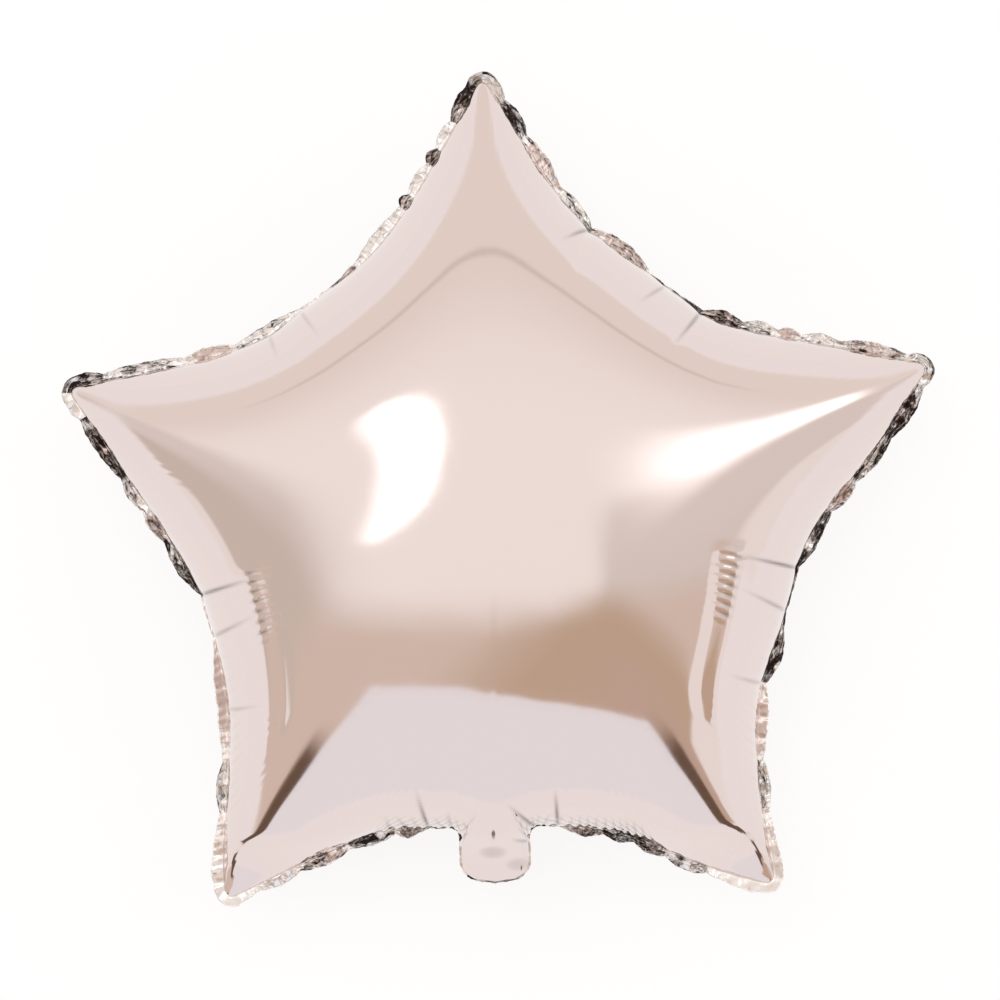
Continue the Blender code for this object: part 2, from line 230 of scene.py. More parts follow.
# Facets of the crumpled weld are long and narrow, along the seam, metres
SEAM_LENGTH = 1.42
LEAF_WIDTH = 0.0056
FACET_LENGTH = 0.0064
FACET_WIDTH = 0.0027

# The strip widens over this distance past a valley, and narrows to its tab at a tip
STRIP_RISE = 0.022
TAB_START = 0.004
TAB_FADE = 0.006
# Share of the width that is left where the strip is pinched, and what a leaf adds to it
PINCHED_WIDTH = 0.42
LEAF_SWELL = 0.58
LEAF_ROUNDNESS = 0.85
WIDTH_UNEVEN = 0.10
# Every second leaf is twisted up, the others less far down
LIFT_UP = 1.0
LIFT_DOWN = -0.7
LIFT_COURSE = 1.3
# How far the strip starts inside the seam, and how far crumples move its edge, metres
STRIP_LAP = 0.0006
EDGE_CRUMPLE = 0.00015
CRUMPLE_COURSE = 0.7
LEAST_CRUMPLE = 0.35
# Zigzags along the strip: length in metres, size, unevenness, seed and slant
STRIP_CRUMPLES = (
    (0.0093, 1.0, 2.1, 3.0, 1.1),
    (0.0041, 0.6, 2.6, 6.0, -2.3),
    (0.0023, 0.35, 3.0, 8.0, 5.0),
)
# Slow uneven waves round the whole seam: how many, and their size
WANDER_WAVES = ((11, 0.5), (23, 0.35), (37, 0.25), (61, 0.2))
WANDER_TURN = 1.7

# Points of a mesh that are nearer than this are one, and edges shorter than that go, metres
MERGE_GAP = 0.000002
SHORTEST_EDGE = 0.000001

# Studio, metres: paper floor, soft lamp and the point that it is aimed at, and how far
# the middle of the frame lies right of and above the star's middle
FLOOR_SIZE = 6.0
FLOOR_DROP = 0.0005
LAMP_PLACE = (-0.4, 0.5, 2.2)
LAMP_AIM = (0.0, 0.0, 0.1)
LAMP_SIZE = 1.2
FRAME_RIGHT = 0.0025
FRAME_UP = 0.0116
# Millimetres
SENSOR_WIDTH = 36.0
# How white the paper looks to the camera and in the film, and how much of it is glow
PAPER_GLOW = 1.05
PAPER_GLOW_SHARE = 0.75


def srgb(code):
    # Hex colour to linear light
    channels = []
    for k in (0, 2, 4):
        value = int(code[k:k + 2], 16) / 255.0
        channels.append(value / 12.92 if value <= 0.04045 else ((value + 0.055) / 1.055) ** 2.4)
    return (*channels, 1.0)


def add_node(tree, kind, settings=None, inputs=None):
    # One node; an input is a value, or the socket that feeds it
    node = tree.nodes.new(kind)
    for name, value in (settings or {}).items():
        setattr(node, name, value)
    for name, value in (inputs or {}).items():
        if isinstance(value, bpy.types.NodeSocket):
            tree.links.new(value, node.inputs[name])
        else:
            node.inputs[name].default_value = value
    return node


class BalloonShape(bpy.types.PropertyGroup):
    star_radius: FloatProperty(
        name="Star radius", description="From the middle of the star to the tip of its longest arm",
        default=0.2275, min=0.05, unit="LENGTH")
    fullness: FloatProperty(
        name="Fullness", description="How round the wide middle blows up, as a share of the radius",
        default=0.90, min=0.2, subtype="FACTOR")
    rest_flat: FloatProperty(
        name="Flat at rest",
        description="How far the back is pressed in where it lies, as a share of the radius",
        default=0.004, min=0.0, subtype="FACTOR")
    columns_per_step: IntProperty(
        name="Fineness", description="Columns of the film for each column of the solid",
        default=6, min=1, max=6)
    rings: IntProperty(
        name="Rings", description="Rows of film between the seam and the middle",
        default=64, min=12, max=64)
    gather_depth: FloatProperty(
        name="Gather depth", description="Height of the small gathers beside the seam",
        default=0.0010, min=0.0, unit="LENGTH")
    gather_pitch: FloatProperty(
        name="Gather spacing", description="From one small gather to the next",
        default=0.0056, min=0.001, unit="LENGTH")
    pucker_depth: FloatProperty(
        name="Pucker depth", description="Depth of the puckers at the shoulders of the lower valleys",
        default=0.00045, min=0.0, unit="LENGTH")


class SeamStripShape(bpy.types.PropertyGroup):
    width: FloatProperty(
        name="Width", description="Width of the welded strip along an arm",
        default=0.0056, min=0.0, unit="LENGTH")
    valley_width: FloatProperty(
        name="Width in a valley", description="Width of the strip where two arms meet",
        default=0.0012, min=0.0, unit="LENGTH")
    tail_width: FloatProperty(
        name="Width at the tail", description="Width of the strip round the filling tail",
        default=0.0008, min=0.0, unit="LENGTH")
    tab_width: FloatProperty(
        name="Tab at a tip", description="How far the crumpled tab at the tip of an arm stands out",
        default=0.0048, min=0.0, unit="LENGTH")
    leaf_lift: FloatProperty(
        name="Leaf lift", description="How far the edge of a leaf of the strip is twisted up or down",
        default=0.0026, min=0.0, unit="LENGTH")
    crumple_depth: FloatProperty(
        name="Crumple depth", description="Height of the fine crumples in the strip",
        default=0.0005, min=0.0, unit="LENGTH")
    thickness: FloatProperty(
        name="Thickness",
        description="Two welded films, drawn thicker than the real 0.06 mm so that the edge shows",
        default=0.00014, min=0.00001, unit="LENGTH")


class BalloonFinish(bpy.types.PropertyGroup):
    film: FloatVectorProperty(
        name="Film", description="Tint of the metallised film", subtype="COLOR", size=4,
        min=0.0, max=1.0, default=srgb("E6D8D4"))
    film_roughness: FloatProperty(
        name="Film roughness", description="Softness of the film's reflections",
        default=0.075, min=0.0, max=1.0, subtype="FACTOR")
    # Pale end of the strip's colour: close to the film's own tint, a little whiter as a painted highlight
    strip_pale: FloatVectorProperty(
        name="Strip, pale", description="Bright facets of the crumpled strip", subtype="COLOR", size=4,
        min=0.0, max=1.0, default=srgb("F2EBE7"))
    # Painted shade: the dark that the film's colour is mixed toward in creases, gather lines, pinches,
    # crumples and dents
    painted_crease_shade: FloatVectorProperty(
        name="Inside of a fold", description="Film deep in a crease, which sees only film", subtype="COLOR",
        size=4, min=0.0, max=1.0, default=srgb("554842"))
    # Painted reflection: the near-black that the strip's colour takes where its facets would mirror dark
    # parts of the room
    strip_painted_dark_reflection: FloatVectorProperty(
        name="Strip, dark", description="Dark facets of the crumpled strip", subtype="COLOR", size=4,
        min=0.0, max=1.0, default=srgb("2A211E"))


class BalloonStudio(bpy.types.PropertyGroup):
    camera_distance: FloatProperty(
        name="Camera distance", description="From the seam of the balloon up to the camera",
        default=1.8, min=0.5, unit="LENGTH")
    view_width: FloatProperty(
        name="View width", description="Width of the frame at the seam of the balloon",
        default=0.497, min=0.1, unit="LENGTH")
    camera_roll: FloatProperty(
        name="Camera roll", description="Turn of the frame about the line of sight",
        default=math.radians(1.22), unit="ROTATION")
    lamp_power: FloatProperty(
        name="Lamp power", description="Power of the soft lamp overhead, in watts",
        default=6.0, min=0.0)
    room_level: FloatProperty(
        name="Room level", description="Brightness of the room that the film mirrors",
        default=1.1, min=0.0)
    floor: FloatVectorProperty(
        name="Floor", description="Colour of the paper floor", subtype="COLOR", size=4,
        min=0.0, max=1.0, default=srgb("F3F3F3"))


def smoothstep(value):
    value = np.clip(value, 0.0, 1.0)
    return value * value * (3.0 - 2.0 * value)


def polar(radius, degrees):
    angle = math.radians(degrees)
    return np.array([radius * math.cos(angle), radius * math.sin(angle)])


def bezier(p0, p1, p2, p3, steps):
    t = np.linspace(0.0, 1.0, steps + 1)[:, None]
    s = 1.0 - t
    return s ** 3 * p0 + 3 * s * s * t * p1 + 3 * s * t * t * p2 + t ** 3 * p3


def arc(centre, radius, start, stop, steps):
    angles = np.radians(np.linspace(start, stop, steps + 1))
    return centre + radius * np.stack([np.cos(angles), np.sin(angles)], axis=1)


def resample(points, steps):
    lengths = np.linalg.norm(np.diff(points, axis=0), axis=1)
    along = np.concatenate([[0.0], np.cumsum(lengths)])
    targets = np.linspace(0.0, along[-1], steps + 1)
    x = np.interp(targets, along, points[:, 0])
    y = np.interp(targets, along, points[:, 1])
    return np.stack([x, y], axis=1)


def valley_point(index):
    following = TIP_ANGLE[(index + 1) % ARM_COUNT]
    if following < TIP_ANGLE[index]:
        following += 360.0
    middle = 0.5 * (TIP_ANGLE[index] + following) + VALLEY_LEAN[index]
    return polar(VALLEY_REACH[index], middle), middle


def half_arm(index, side):
    # From the tip of an arm down one side to the valley; side +1 is anticlockwise
    flank = (2 * index + min(side, 0)) % (2 * ARM_COUNT)
    tip_deg = TIP_ANGLE[index]
    nose_centre = polar(TIP_REACH[index] - NOSE_RADIUS, tip_deg)
    sweep = 90.0 - FLANK_ANGLE[flank]
    nose = arc(nose_centre, NOSE_RADIUS, tip_deg, tip_deg + side * sweep, ARC_POINTS)
    heading = tip_deg + 180.0 - side * FLANK_ANGLE[flank]
    valley_index = index if side > 0 else (index - 1) % ARM_COUNT
    foot, foot_deg = valley_point(valley_index)
    back = foot_deg - side * 90.0
    if valley_index == TAIL_INDEX:
        foot = np.array([TAIL_CENTRE_X - side * (TAIL_HALF_WIDTH + TAIL_FILLET), TAIL_ROOT_Y])
        back = 90.0 + side * (90.0 + ROOT_LEAN)
    start = nose[-1]
    leave = start + polar(TIP_COURSE[flank], heading)
    arrive = foot + polar(VALLEY_COURSE[flank], back)
    side_line = bezier(start, leave, arrive, foot, FLANK_POINTS)
    return np.concatenate([nose, side_line[1:]])


def tail_half(side):
    # From the root of the tail round to the middle of its end
    x = -side * TAIL_HALF_WIDTH
    root = np.array([x - side * TAIL_FILLET, TAIL_ROOT_Y - TAIL_FILLET])
    fillet = arc(root, TAIL_FILLET, 90.0, 90.0 - side * 90.0, ARC_POINTS)
    corner_centre = np.array([x + side * TAIL_CORNER, TAIL_END_Y + TAIL_CORNER])
    start = 90.0 + side * 90.0
    stop = start + side * TAIL_CORNER_TURN
    corner = arc(corner_centre, TAIL_CORNER, start, stop, ARC_POINTS)
    end = np.array([[0.0, TAIL_END_Y - TAIL_END_BOW]])
    points = np.concatenate([fillet, corner, end])
    points[:, 0] += TAIL_CENTRE_X
    return points


def outline(radius, fineness):
    # Closed seam line, anticlockwise from the top tip
    side_steps = SIDE_STEPS * fineness
    tail_steps = TAIL_STEPS * fineness
    pieces = []
    for index in range(ARM_COUNT):
        following = (index + 1) % ARM_COUNT
        pieces.append(resample(half_arm(index, 1), side_steps)[:-1])
        if index == TAIL_INDEX:
            pieces.append(resample(tail_half(1), tail_steps)[:-1])
            pieces.append(resample(tail_half(-1), tail_steps)[::-1][:-1])
        pieces.append(resample(half_arm(following, -1), side_steps)[::-1][:-1])
    return np.concatenate(pieces) * radius


def outward_normals(points):
    tangent = np.roll(points, -1, axis=0) - np.roll(points, 1, axis=0)
    tangent /= np.linalg.norm(tangent, axis=1)[:, None]
    return np.stack([tangent[:, 1], -tangent[:, 0]], axis=1)


def film_solution(radius):
    # Height field of a pressed film fixed along the seam: a sum of point terms
    # set outside the seam, solved so that the height is nil on the seam
    edge = outline(radius, FIELD_DENSITY)
    normals = outward_normals(edge)
    spacing = np.linalg.norm(edge[1] - edge[0])
    sources = (edge + FIELD_OFFSET * spacing * normals)[::2]
    gaps = np.linalg.norm(edge[:, None, :] - sources[None, :, :], axis=2)
    table = np.concatenate([np.log(gaps), np.ones((len(edge), 1))], axis=1)
    right = 0.25 * np.sum(edge * edge, axis=1)
    weights = np.linalg.lstsq(table, right, rcond=1e-9)[0]
    return sources, weights


def film_height(points, shape, solution):
    # Half thickness of the bag at each point, and the outward direction of the film
    sources, weights = solution
    flat = points.reshape(-1, 2)
    heights = []
    normals = []
    for start in range(0, len(flat), FIELD_BLOCK):
        block = flat[start:start + FIELD_BLOCK]
        spread = block[:, None, :] - sources[None, :, :]
        squared = np.sum(spread * spread, axis=2)
        value = 0.5 * np.log(squared) @ weights[:-1] + weights[-1]
        value -= 0.25 * np.sum(block * block, axis=1)
        slope = np.einsum("ij,ijk->ik", weights[:-1] / squared, spread) - 0.5 * block
        round_section = np.sqrt(np.maximum(2.0 * value, 0.0))
        # A narrow arm blows up nearly round, the wide middle stays flatter
        flatten = 1.0 / (1.0 + round_section / (shape.fullness * shape.star_radius))
        normal = np.concatenate([-slope * (flatten ** 2)[:, None], round_section[:, None]], axis=1)
        normal /= np.linalg.norm(normal, axis=1)[:, None]
        beyond = TAIL_ROOT_Y * shape.star_radius - block[:, 1]
        beyond /= (TAIL_ROOT_Y - TAIL_END_Y) * shape.star_radius
        level = round_section * flatten * (1.0 - TAIL_FLATNESS * smoothstep(beyond))
        for reach, angle in zip(TIP_REACH, TIP_ANGLE):
            gap = np.linalg.norm(block - polar(reach, angle) * shape.star_radius, axis=1)
            gap /= shape.star_radius
            ended = smoothstep(gap / TIP_FLATTEN_END)
            level *= 1.0 - TIP_FLATTEN * (1.0 - ended) * np.exp(-gap / TIP_FLATTEN_REACH)
        heights.append(level)
        normals.append(normal)
    size = points.shape[:-1]
    return np.concatenate(heights).reshape(size), np.concatenate(normals).reshape(size + (3,))


def around(column, centre):
    # Signed distance in columns along the closed seam
    return (column - centre + 0.5 * COLUMNS) % COLUMNS - 0.5 * COLUMNS


def column_pitch(shape):
    # Mean length of a column of the solid along the seam
    edge = outline(shape.star_radius, 1)
    return np.linalg.norm(edge - np.roll(edge, 1, axis=0), axis=1).mean()


def band(column, start, stop, soft=2.0):
    # One between two columns, fading over a few columns at both ends
    reach = 0.5 * (stop - start)
    return 1.0 - smoothstep((np.abs(around(column, 0.5 * (start + stop))) - reach) / soft + 0.5)


def wander(column, seed):
    # Slow uneven wave round the whole seam
    turn = 2.0 * math.pi * column / COLUMNS
    total = np.zeros_like(turn)
    for k, (order, size) in enumerate(WANDER_WAVES):
        total += size * np.sin(order * turn + seed * (WANDER_TURN + k) + k * k)
    return total


def triangle_wave(phase):
    return 2.0 / math.pi * np.arcsin(np.sin(phase))


def hump(distance, peak, reach):
    # Rises from the seam to the peak distance, then fades out at the reach
    rise = smoothstep(distance / peak)
    fall = 1.0 - smoothstep((distance - peak) / (reach - peak))
    return rise * fall


def gather_strength(column):
    strength = np.full_like(column, GATHER_STRENGTH)
    for first, last, more in GATHERED:
        strength += more * band(column, first, last)
    return strength


def from_row(column, distance, row):
    # How far a place is from a row that runs beside the seam, in half widths of the row
    first, last, near, far, half_width = row
    share = np.clip(around(column, first) / (last - first), 0.0, 1.0)
    return (distance - near - (far - near) * share) / half_width


def crease_lines(shape):
    # For each crease: its foot on the seam, its direction inward and the one across it
    edge = outline(shape.star_radius, FIELD_DENSITY)
    normals = outward_normals(edge)
    lines = []
    for start, lean, _, _, _ in CREASES:
        spot = round(start * FIELD_DENSITY)
        outward = normals[spot]
        onward = np.array([-outward[1], outward[0]])
        turn = math.radians(lean)
        inward = -math.cos(turn) * outward + math.sin(turn) * onward
        lines.append((edge[spot], inward, np.array([-inward[1], inward[0]])))
    return lines


def film_gathers(column, distance, shape, pitch, seed):
    # Small pillows beside the seam, with painted shade along the thin lines between them
    turn = math.pi * column * pitch / shape.gather_pitch
    strength = gather_strength(column)
    pillow = np.abs(np.sin(turn + GATHER_UNEVEN * wander(column, seed))) - GATHER_MEAN
    reach = GATHER_REACH * (1.0 + GATHER_REACH_UNEVEN * wander(column, seed + 2.0))
    reach = np.maximum(reach, GATHER_LEAST_REACH)
    push = shape.gather_depth * strength * pillow * hump(distance, GATHER_PEAK, reach)
    line = strength * (1.0 - np.abs(np.sin(turn))) ** 3
    fold = GATHER_SHADE * line * hump(distance, GATHER_SHADE_PEAK, GATHER_SHADE_REACH)
    return push, fold


def press_creases(push, fold, flat, shape):
    # Each crease is a sharp groove between two soft pillows, with a thin line of painted shade along the
    # groove, darker for a deeper crease
    for (anchor, inward, sideways), (_, _, length, depth, _) in zip(crease_lines(shape), CREASES):
        along = (flat - anchor) @ inward
        across = np.abs((flat - anchor) @ sideways)
        groove = PILLOW_SHARE * np.exp(-((across - PILLOW_HALF_WIDTH) / PILLOW_HALF_WIDTH) ** 2)
        groove = groove - np.exp(-across / CREASE_HALF_WIDTH)
        push = push + depth * groove * hump(along, CREASE_PEAK, length)
        line = np.exp(-(across / FOLD_HALF_WIDTH) ** 2) * hump(along, CREASE_HALF_WIDTH, length)
        fold = np.maximum(fold, np.minimum(depth / DEEP_CREASE, 1.0) * line)
    return push, fold


def raise_ridges(push, column, distance):
    for *row, height in RIDGES:
        strength = band(column, row[0], row[1], RIDGE_FADE)
        push = push + height * strength * np.exp(-from_row(column, distance, row) ** 2)
    return push


def pinch_puckers(push, fold, column, distance, shape, pitch, seed):
    # Short rungs side by side, pinched together on their inner side, with painted shade in the pinches
    for row in PUCKERS:
        off = from_row(column, distance, row)
        turn = math.pi * column * pitch / PUCKER_PITCH
        rung = np.abs(np.sin(turn + PUCKER_UNEVEN * wander(column, seed)))
        strength = band(column, row[0], row[1], PUCKER_FADE) * np.exp(-off ** 2)
        push = push + shape.pucker_depth * (rung - PUCKER_MEAN) * strength
        pinch = strength * np.exp(-((off - PINCH_PLACE) / PINCH_HALF_WIDTH) ** 2) * (1.0 - rung) ** 2
        fold = np.maximum(fold, PINCH_SHADE * pinch)
    return push, fold


def crumple_beside_tail(push, fold, column, distance, shape, pitch, seed):
    # Two crossing sets of slanted waves, with painted shade in their hollows
    for first, last, reach in CRUMPLED:
        slant = math.pi * distance / (CRUMPLE_SLANT * CRUMPLE_PITCH)
        course = math.pi * column * pitch / CRUMPLE_PITCH
        course = course + CRUMPLE_UNEVEN * wander(column, seed + 5.0)
        facets = np.abs(np.sin(course + slant)) * np.abs(np.sin(CRUMPLE_CROSSING * course - slant))
        zone = band(column, first, last, CRUMPLE_FADE) * (1.0 - smoothstep(distance / reach))
        push = push + shape.gather_depth * (facets - CRUMPLE_MEAN) * zone
        shade = CRUMPLE_SHADE * zone * np.maximum(1.0 - CRUMPLE_SHADE_EDGE * facets, 0.0)
        fold = np.maximum(fold, shade)
    return push, fold


def dent_tail(push, fold, flat):
    for x, y, half_x, half_y, depth, dark in DENTS:
        spot = ((flat[..., 0] - x) / half_x) ** 2 + ((flat[..., 1] - y) / half_y) ** 2
        push = push - depth * np.exp(-spot)
        # Painted shade over the dent, as dark as the table gives
        fold = np.maximum(fold, dark * (1.0 - smoothstep(spot / DENT_SHADE_REACH)))
    return push, fold


def film_push(column, distance, flat, side, shape, pitch):
    # How far the film stands in or out of the smooth bag, along its own normal,
    # and how much painted shade its colour takes there, from nil to one: the dark
    # of crease lines, gather lines, pinches, crumples and dents
    seed = FRONT_SEED if side > 0 else BACK_SEED
    push, fold = film_gathers(column, distance, shape, pitch, seed)
    push, fold = press_creases(push, fold, flat, shape)
    push = raise_ridges(push, column, distance)
    push, fold = pinch_puckers(push, fold, column, distance, shape, pitch, seed)
    push, fold = crumple_beside_tail(push, fold, column, distance, shape, pitch, seed)
    if side > 0:
        push, fold = dent_tail(push, fold, flat)
    return push, np.clip(fold, 0.0, 1.0)


def seam_shift(column, pitch):
    # Notches where a crease reaches the seam
    shift = np.zeros_like(column)
    for start, _, _, _, notch in CREASES:
        shift -= notch * np.exp(-np.abs(around(column, start) * pitch) / NOTCH_REACH)
    return shift


def spine_points(column, radius):
    # The rings close in on the middle of the star, and on a line that runs down to the tail
    folded = np.minimum(column, COLUMNS - column)
    to_root = smoothstep((folded - (ROOT_COLUMN - SPINE_LEAD)) / SPINE_LEAD)
    to_end = np.clip((folded - ROOT_COLUMN) / (0.5 * COLUMNS - ROOT_COLUMN), 0.0, 1.0)
    y = SPINE_ROOT_Y * to_root + (SPINE_END_Y - SPINE_ROOT_Y) * to_end
    return np.stack([TAIL_CENTRE_X * to_root, y], axis=1) * radius


def seam_height(shape, solution):
    # Height of the seam when the balloon lies on the pressed-in middle of its back
    middle, _ = film_height(np.zeros((1, 2)), shape, solution)
    return float(middle[0]) - shape.rest_flat * shape.star_radius + HALF_SLAB


def panel_points(side, shape):
    # Rows of points from the seam to the middle of one film panel
    radius = shape.star_radius
    fineness = shape.columns_per_step
    solution = film_solution(radius)
    pitch = column_pitch(shape)
    edge = outline(radius, fineness)
    normals = outward_normals(edge)
    column = np.arange(len(edge)) / fineness
    row = np.linspace(0.0, 1.0, shape.rings + 1)
    turn = 0.5 * math.pi * (EVEN_TURN * row + (1.0 - EVEN_TURN) * row ** 3)
    spine = spine_points(column, radius)
    flat = spine[None] + np.cos(turn)[:, None, None] * (edge - spine)[None]
    distance = np.sum((edge[None] - flat) * normals[None], axis=2)
    height, outward = film_height(flat, shape, solution)
    height[0] = 0.0
    columns = np.broadcast_to(column, distance.shape)
    push, fold = film_push(columns, distance, flat, side, shape, pitch)
    points = np.concatenate([flat, height[..., None]], axis=2) + push[..., None] * outward
    fade = 1.0 - smoothstep(distance / NOTCH_INWARD)
    points[..., :2] += (fade * seam_shift(column, pitch)[None])[..., None] * normals[None]
    level = seam_height(shape, solution)
    points[..., 2] = level + side * points[..., 2]
    # The back is pressed flat where it lies
    points[..., 2] = np.maximum(points[..., 2], 0.0)
    return points, fold


def leaf_place(column):
    # For each column: share of the way along its leaf, the leaf's number and how bright its painted
    # reflection is
    share = np.zeros_like(column)
    number = np.full(column.shape, -1)
    shade = np.full(column.shape, PALE)
    for k, (first, last, bright) in enumerate(LEAVES):
        along = around(column, 0.5 * (first + last)) / (last - first) + 0.5
        inside = (along >= 0.0) & (along <= 1.0)
        share[inside] = along[inside]
        number[inside] = k
        shade[inside] = bright
    return share, number, shade


def strip_width(strip, column, pitch, bulge):
    # Widest in the middle of a leaf, narrow in the valleys and round the tail
    from_valley = np.min([np.abs(around(column, mark)) for mark in CORNERS], axis=0) * pitch
    from_tip = np.min([np.abs(around(column, mark)) for mark in TIPS], axis=0) * pitch
    rise = smoothstep((from_valley - pitch) / STRIP_RISE)
    leaf = PINCHED_WIDTH + LEAF_SWELL * bulge
    width = strip.valley_width + (strip.width - strip.valley_width) * rise * leaf
    width = width * (1.0 + WIDTH_UNEVEN * wander(column, 9.0))
    width = width + (strip.tab_width - width) * (1.0 - smoothstep((from_tip - TAB_START) / TAB_FADE))
    tail = band(column, CORNERS[2] + 1.0, CORNERS[3] - 1.0, 1.0)
    return width + (strip.tail_width - width) * tail


def strip_crumple(column, pitch, across):
    run = 2.0 * math.pi * column * pitch
    total = np.zeros_like(column)
    for length, size, uneven, seed, slant in STRIP_CRUMPLES:
        total += size * triangle_wave(run / length + uneven * wander(column, seed) + slant * across)
    return total


def strip_points(strip, shape, rows):
    # Rows of points of the welded strip, from just inside the seam to its free edge
    radius = shape.star_radius
    fineness = shape.columns_per_step
    pitch = column_pitch(shape)
    edge = outline(radius, fineness)
    normals = outward_normals(edge)
    column = np.arange(len(edge)) / fineness
    edge = edge + seam_shift(column, pitch)[:, None] * normals
    share, number, shade = leaf_place(column)
    bulge = np.where(number >= 0, np.sin(math.pi * share) ** LEAF_ROUNDNESS, 0.0)
    width = strip_width(strip, column, pitch, bulge)
    side = np.where(number % 2 == 0, LIFT_UP, LIFT_DOWN)
    level = seam_height(shape, film_solution(radius))
    points = []
    for row in range(rows + 1):
        across = row / rows
        crumple = strip_crumple(column, pitch, across)
        lift = strip.leaf_lift * side * bulge * across ** LIFT_COURSE * (width / strip.width)
        crumpled = strip.crumple_depth * crumple * across ** CRUMPLE_COURSE
        lift += crumpled * (LEAST_CRUMPLE + width / strip.width)
        reach = across * width + EDGE_CRUMPLE * crumple * across - (STRIP_LAP if row == 0 else 0.0)
        place = np.zeros((len(edge), 3))
        place[:, :2] = edge + reach[:, None] * normals
        place[:, 2] = level + lift
        points.append(place)
    return np.array(points), np.broadcast_to(shade, (rows + 1, len(edge)))


def rolled_grid(name, points, label, shade):
    # A grid primitive rolled into a ring: its columns run round the seam and meet,
    # its rows run inward or outward, and each point takes its place from the table
    rows, columns = points.shape[0] - 1, points.shape[1]
    bpy.ops.object.select_all(action="DESELECT")
    bpy.ops.mesh.primitive_grid_add(x_subdivisions=columns, y_subdivisions=rows, size=2.0, calc_uvs=True)
    piece = bpy.context.object
    piece.name = name
    piece.data.name = name
    mesh = piece.data
    place = np.zeros(3 * len(mesh.vertices))
    mesh.vertices.foreach_get("co", place)
    place = place.reshape(-1, 3)
    column = np.rint(0.5 * (place[:, 0] + 1.0) * columns).astype(int) % columns
    row = np.rint(0.5 * (place[:, 1] + 1.0) * rows).astype(int)
    mesh.vertices.foreach_set("co", points[row, column].ravel())
    layer = mesh.attributes.new(label, "FLOAT", "POINT")
    layer.data.foreach_set("value", shade[row, column].astype(np.float32))
    mesh.update()
    bpy.ops.object.mode_set(mode="EDIT")
    bpy.ops.mesh.select_all(action="SELECT")
    bpy.ops.mesh.remove_doubles(threshold=MERGE_GAP)
    bpy.ops.mesh.dissolve_degenerate(threshold=SHORTEST_EDGE)
    bpy.ops.object.mode_set(mode="OBJECT")
    bpy.ops.object.shade_smooth()
    return piece


def turn_faces(piece, direction):
    # The sheets are open, so their faces are turned here, up or down
    total = sum(face.area * face.normal.z for face in piece.data.polygons)
    if total * direction < 0.0:
        bpy.ops.object.mode_set(mode="EDIT")
        bpy.ops.mesh.select_all(action="SELECT")
        bpy.ops.mesh.flip_normals()
        bpy.ops.object.mode_set(mode="OBJECT")


def finish_piece(piece, material):
    piece.data.materials.clear()
    piece.data.materials.append(material)
    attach(piece, "root")


def metallised_film(finish):
    # Polyester film with aluminium vapour-coated on it under a tinted lacquer. It is blown
    # tight, so it mirrors the room almost cleanly. Faint waves about 30 mm long from the
    # film's uneven stretch soften straight reflections, and the lacquer's fine unevenness,
    # really a few hundredths of a millimetre wide, is drawn at 3 mm to show. Deep in a
    # crease, and along gather lines, pinches, crumples and dents, the film would see only
    # itself and go dark: that dark is painted shade, mixed into the film's colour by a
    # point attribute of the panels
    material = bpy.data.materials.new("metallised_polyester_film")
    material.use_nodes = True
    tree = material.node_tree
    shader = tree.nodes["Principled BSDF"]
    shader.inputs["Metallic"].default_value = 1.0
    # Painted shade: the panels' point attribute mixes the film's colour toward the dark fold colour in
    # creases, gather lines, pinches, crumples and dents
    depth = add_node(tree, "ShaderNodeAttribute", {"attribute_name": "painted_fold_shade"})
    tint = add_node(tree, "ShaderNodeMix", {"data_type": "RGBA"}, {
        0: depth.outputs["Fac"], 6: finish.film, 7: finish.painted_crease_shade})
    tree.links.new(tint.outputs[2], shader.inputs["Base Color"])
    place = add_node(tree, "ShaderNodeTexCoord").outputs["Object"]
    wave = add_node(tree, "ShaderNodeTexNoise", None, {
        "Vector": place, "Scale": 33.0, "Detail": 1.0, "Roughness": 0.4})
    grain = add_node(tree, "ShaderNodeTexNoise", None, {
        "Vector": place, "Scale": 330.0, "Detail": 2.0})
    softness = add_node(tree, "ShaderNodeMapRange", None, {
        "Value": grain.outputs["Fac"], "To Min": 0.7 * finish.film_roughness,
        "To Max": 1.3 * finish.film_roughness})
    waves = add_node(tree, "ShaderNodeBump", None, {
        "Height": wave.outputs["Fac"], "Strength": 0.25, "Distance": 0.0005})
    tree.links.new(softness.outputs["Result"], shader.inputs["Roughness"])
    tree.links.new(waves.outputs["Normal"], shader.inputs["Normal"])
    return material


